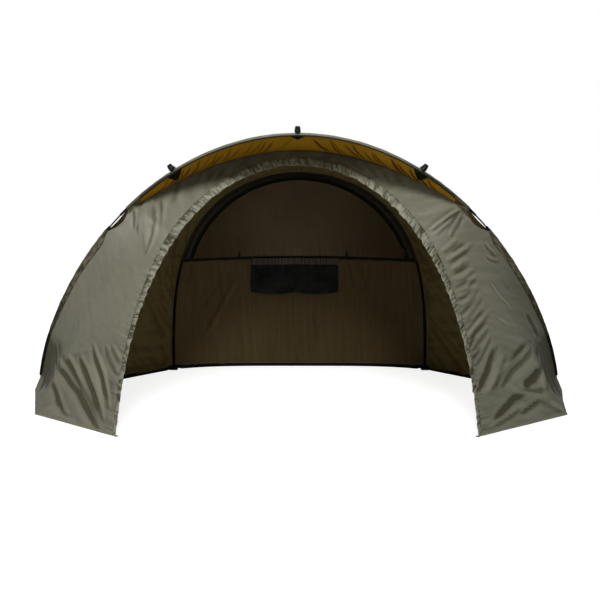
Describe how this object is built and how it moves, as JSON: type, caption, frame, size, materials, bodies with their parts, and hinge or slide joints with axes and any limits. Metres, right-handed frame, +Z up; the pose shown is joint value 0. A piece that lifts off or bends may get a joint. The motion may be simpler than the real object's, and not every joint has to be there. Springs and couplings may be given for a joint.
{
  "type": "bivvy tent",
  "caption": "Domed bivvy tent on bent ribs, with rods in roof sleeves, a sloping front panel round an arched doorway, and a rear wall with a zipped window.",
  "frame": {"origin": "on the ground, midway between the two pivots of the front rib, which is the middle of the bounding box's base to within a few millimetres", "axes": "+X to the right as seen from the door, +Y from the door to the rear wall, +Z up"},
  "size_m": [2.852, 2.1734, 1.4051],
  "materials": {
    "olive_cloth": "coated woven cloth, olive grey outside, brown inside",
    "mustard_lining": "coated woven cloth, mustard",
    "black_webbing": "woven webbing",
    "dark_green_tape": "woven tape",
    "black_net": "open net",
    "zip_black": "moulded coil zip",
    "rod_black": "smooth pultruded rod",
    "moulded_black": "moulded nylon"
  },
  "bodies": {
    "shelter": {"canopy": "olive_cloth", "rear_wall": "olive_cloth", "arch_band": "olive_cloth", "window_panel": "olive_cloth", "zip_track": "zip_black", "rear_tape": "dark_green_tape", "pocket_header": "olive_cloth", "pocket_bag": "black_net", "rear_rib": "rod_black", "rear_rib_sleeve": "black_webbing", "pivot_block_left": "moulded_black", "pivot_block_right": "moulded_black", "rear_foot_left": "moulded_black", "rear_foot_right": "moulded_black", "hem_left": "black_webbing", "hem_right": "black_webbing", "hem_rear": "black_webbing", "roof_sleeve_left": "olive_cloth", "roof_sleeve_centre": "olive_cloth", "roof_sleeve_right": "olive_cloth", "pole_guide_left": "moulded_black", "pole_guide_centre": "moulded_black", "pole_guide_right": "moulded_black", "lamp_loop": "black_webbing", "toggle_anchor_left": "moulded_black", "toggle_anchor_right": "moulded_black"},
    "front_rib": {"front_rib_left_leg": "rod_black", "front_rib_arch": "rod_black", "front_rib_right_leg": "rod_black", "front_rib_left_ferrule": "moulded_black", "front_rib_right_ferrule": "moulded_black", "rib_socket_left": "moulded_black", "rib_socket_right": "moulded_black", "peak_sleeve": "olive_cloth", "leg_sleeve_left": "olive_cloth", "leg_sleeve_right": "olive_cloth", "leg_boot_left": "black_webbing", "leg_boot_right": "black_webbing", "leg_clip_left": "moulded_black", "leg_clip_right": "moulded_black", "peak_liner": "mustard_lining", "peak_patch_left": "black_webbing", "peak_patch_centre": "black_webbing", "peak_patch_right": "black_webbing", "front_panel": "olive_cloth", "door_binding": "olive_cloth", "wing_tab_left": "black_webbing", "wing_tab_right": "black_webbing", "door_tab_left": "black_webbing", "door_tab_right": "black_webbing", "pole_cap_left": "moulded_black", "pole_cap_centre": "moulded_black", "pole_cap_right": "moulded_black"},
    "roof_pole_left": {"roof_pole_left": "rod_black"},
    "roof_pole_centre": {"roof_pole_centre": "rod_black"},
    "roof_pole_right": {"roof_pole_right": "rod_black"},
    "zip_slider": {"zip_slider": "moulded_black"},
    "zip_puller": {"zip_puller": "moulded_black"},
    "window_toggle_left": {"window_toggle_left": "moulded_black"},
    "window_toggle_right": {"window_toggle_right": "moulded_black"}
  },
  "joints": [
    {"name": "front_rib_fold", "type": "hinge", "parent": "shelter", "child": "front_rib", "pos_m": [0, 0, 0.03], "axis": [-1, 0, 0], "range_deg": [0, 40], "deforming": ["canopy", "roof_sleeve_left", "roof_sleeve_centre", "roof_sleeve_right", "front_panel", "door_binding", "peak_liner", "peak_patch_left", "peak_patch_centre", "peak_patch_right"]},
    {"name": "roof_pole_left_slide", "type": "slide", "parent": "shelter", "child": "roof_pole_left", "axis": [0.098, 0.9926, -0.0717], "range_m": [0, 1.155]},
    {"name": "roof_pole_centre_slide", "type": "slide", "parent": "shelter", "child": "roof_pole_centre", "axis": [0, 0.9966, -0.0829], "range_m": [0, 1.155]},
    {"name": "roof_pole_right_slide", "type": "slide", "parent": "shelter", "child": "roof_pole_right", "axis": [-0.098, 0.9926, -0.0717], "range_m": [0, 1.155]},
    {"name": "zip_slider_run", "type": "hinge", "parent": "shelter", "child": "zip_slider", "pos_m": [0, 0.93, 0.497], "axis": [0, -1, 0], "range_deg": [0, 136]},
    {"name": "zip_puller_swing", "type": "hinge", "parent": "zip_slider", "child": "zip_puller", "pos_m": [0.65628, 0.92045, 0.75757], "axis": [0.9361, 0, 0.3518], "range_deg": [-80, 0]},
    {"name": "window_toggle_left_swing", "type": "hinge", "parent": "shelter", "child": "window_toggle_left", "pos_m": [-0.375, 0.9212, 0.70829], "axis": [1, 0, 0], "range_deg": [0, 90]},
    {"name": "window_toggle_right_swing", "type": "hinge", "parent": "shelter", "child": "window_toggle_right", "pos_m": [0.298, 0.9212, 0.71039], "axis": [1, 0, 0], "range_deg": [0, 90]}
  ],
  "couplings": [
    {"joint": "roof_pole_left_slide", "follows": "front_rib_fold", "m_per_rad": 1.65},
    {"joint": "roof_pole_centre_slide", "follows": "front_rib_fold", "m_per_rad": 1.65},
    {"joint": "roof_pole_right_slide", "follows": "front_rib_fold", "m_per_rad": 1.65}
  ]
}
